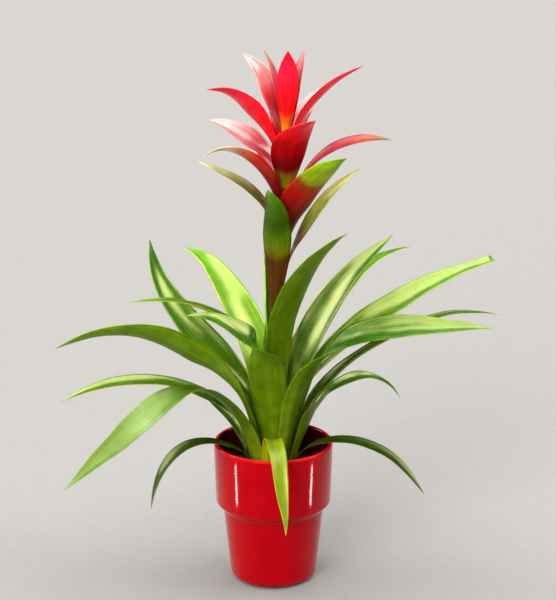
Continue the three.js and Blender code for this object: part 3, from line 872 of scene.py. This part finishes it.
copies = []
for _ in range(CHIPS):
    copy = bpy.data.objects.new("chip_copy", chip.data.copy())
    bpy.context.scene.collection.objects.link(copy)
    radius = math.sqrt(chance.uniform(FIELD[0] ** 2, FIELD[1] ** 2)) * MM
    around = chance.uniform(0, math.tau)
    copy.location = (radius * math.cos(around), radius * math.sin(around), mix_top - SUNK)
    copy.rotation_euler = (chance.gauss(0, TILT), chance.gauss(0, TILT), chance.uniform(0, math.tau))
    copy.scale = [chance.uniform(*sizes) for sizes in (FLAT_SIZES, FLAT_SIZES, THICK_SIZES)]
    copies.append(copy)
bpy.data.objects.remove(chip)
bpy.ops.object.select_all(action="DESELECT")
for piece in copies + [mix]:
    piece.select_set(True)
bpy.context.view_layer.objects.active = mix
bpy.ops.object.join()
print("mix with its chips:", len(mix.data.polygons), "faces")

# %% [markdown]
# ## Peat and bark
# Moist peat is nearly black and quite matt, and the chips of pine bark in it are
# brown, each a little different. So cells about as wide as a chip pick a brown, and
# a fine grain makes it crumbly.

# %% Peat and bark
PEAT_GRAIN = 1.6 * MM
PEAT_RELIEF = 0.6 * MM
CHIP_SHADES = 6 * MM         # cells about as wide as a chip, each with its own brown

bark, tree = new_material("peat_and_bark")
place = add(tree, "ShaderNodeTexCoord").outputs["Object"]
cells = add(tree, "ShaderNodeTexVoronoi", {"Vector": place},
            {"Scale": 1 / CHIP_SHADES}).outputs["Color"]
cell = add(tree, "ShaderNodeSeparateColor", {"Color": cells}).outputs["Red"]
brown = stops_on(add(tree, "ShaderNodeValToRGB", {"Fac": cell}),
                 [(0, "1C120C"), (0.45, "3A2617"), (0.8, "5A3B22"), (1, "7A5633")])
grains = add(tree, "ShaderNodeTexNoise", {"Vector": place},
             {"Scale": 1 / PEAT_GRAIN, "Detail": 4.0, "Roughness": 0.7}).outputs["Fac"]
speckle = stops_on(add(tree, "ShaderNodeValToRGB", {"Fac": grains}), [(0.3, "6E6E6E"), (0.7, "FFFFFF")])
earth = add(tree, "ShaderNodeMix", {"A": brown, "B": speckle}, {"Factor": 1.0},
            data_type="RGBA", blend_type="MULTIPLY").outputs["Result"]
relief = add(tree, "ShaderNodeBump", {"Height": grains},
             {"Strength": 0.8, "Distance": PEAT_RELIEF}).outputs["Normal"]
show(tree, add(tree, "ShaderNodeBsdfPrincipled", {"Base Color": earth, "Normal": relief},
               {"Roughness": 0.9}))
mix.data.materials.append(bark)
seat(mix, "potting_mix")
print("material:", bark.name)

# %% [markdown]
# ## Floor
# A plain pale floor runs far behind the plant, so that it fills the picture. It is
# matt paper: no reflection, and hardly a change of tone.

# %% Floor
FLOOR_SIDE = 14              # metres
PAPER_CLOUDS = 60            # to the metre

bpy.ops.object.select_all(action="DESELECT")
bpy.ops.mesh.primitive_plane_add(size=FLOOR_SIDE)
floor = bpy.context.object
floor.name = floor.data.name = "floor"
paper, tree = new_material("matt_paper")
place = add(tree, "ShaderNodeTexCoord").outputs["Object"]
fibre = add(tree, "ShaderNodeTexNoise", {"Vector": place},
            {"Scale": PAPER_CLOUDS, "Detail": 2.0}).outputs["Fac"]
pale = stops_on(add(tree, "ShaderNodeValToRGB", {"Fac": fibre}), [(0.3, "7A7875"), (0.7, "7C7A77")])
show(tree, add(tree, "ShaderNodeBsdfDiffuse", {"Color": pale}))
floor.data.materials.append(paper)
floor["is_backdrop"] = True
print("floor", FLOOR_SIDE, "m wide")

# %% [markdown]
# ## Light
# In the photograph the pale reflections lie on the faces that mirror what is
# overhead, or high at the left and right. So the main light is a very wide one from
# above, with one at each side. One from the front shows the undersides, and a weak
# one from behind keeps the far side from going dark. All are suns with a wide angle,
# because panels near the plant would leave bright pools on the floor. A pale room
# fills the shadows, but doesn't show in reflections, or it would veil the dark faces,
# and neither does the light from behind. Two slim strips low beside the plant draw
# the two upright streaks in the glaze, and light nothing else.


# %% Lights
def panel(name, place, aim, size, watts):
    """A soft rectangular light that faces a point."""
    light = bpy.data.lights.new(name, "AREA")
    light.shape = "RECTANGLE"
    light.size, light.size_y = size
    light.energy = watts
    lamp = bpy.data.objects.new(name, light)
    lamp.location = place
    lamp.rotation_euler = (Vector(place) - Vector(aim)).to_track_quat("Z", "Y").to_euler()
    bpy.context.scene.collection.objects.link(lamp)
    return lamp


def wide_light(name, place, strength, spread):
    """A soft light so large and far away that the whole floor gets it evenly."""
    light = bpy.data.lights.new(name, "SUN")
    light.energy = strength
    light.angle = math.radians(spread)
    lamp = bpy.data.objects.new(name, light)
    lamp.location = place
    lamp.rotation_euler = Vector(place).to_track_quat("Z", "Y").to_euler()
    bpy.context.scene.collection.objects.link(lamp)
    return lamp


# name, direction, strength, and how many degrees of the sky it fills
wide_light("wide_above", (-0.05, 0, 1), 5.0, 76)
wide_light("wide_left", (-1.0, 0.35, 0.72), 2.2, 40)
wide_light("wide_right", (1.0, 0.05, 0.8), 2.4, 42)
wide_light("wide_front", (-1.2, -2.4, 1.3), 4.3, 35)
wide_light("wide_behind", (0.6, 2.0, 1.4), 1.2, 35).visible_glossy = False

# %% Strips and room
STRIP_AWAY = 250 * MM        # from the pot's middle
STRIP_HEIGHT = 37 * MM
STRIP = (11 * MM, 66 * MM)
STRIP_WATTS = 0.24
COLLAR = (0, 0, 110 * MM)    # what they face

for name, azimuth in (("strip_left", 201), ("strip_right", -19)):
    a = math.radians(azimuth)
    spot = (STRIP_AWAY * math.cos(a), STRIP_AWAY * math.sin(a), STRIP_HEIGHT)
    strip = panel(name, spot, COLLAR, STRIP, STRIP_WATTS)
    strip.visible_camera = False
    strip.visible_diffuse = False

world = bpy.data.worlds.new("soft_room")
bpy.context.scene.world = world
world.use_nodes = True
room = world.node_tree.nodes["Background"]
room.inputs["Color"].default_value = linear("F4F2EC")
room.inputs["Strength"].default_value = 0.3
world.cycles_visibility.glossy = False
bpy.context.scene.view_settings.view_transform = "Standard"

# %% [markdown]
# ## Sizes and finish
# The frame's box and the finished model's box are printed side by side, so that a
# change in how big the plant is would show.

# %% Sizes and finish
model_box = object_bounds()
for low, high, was_low, was_high in zip(*model_box, *cad_box):
    print(f"side {(high - low) / MM:.1f} mm, in the frame {(was_high - was_low) / MM:.1f} mm")
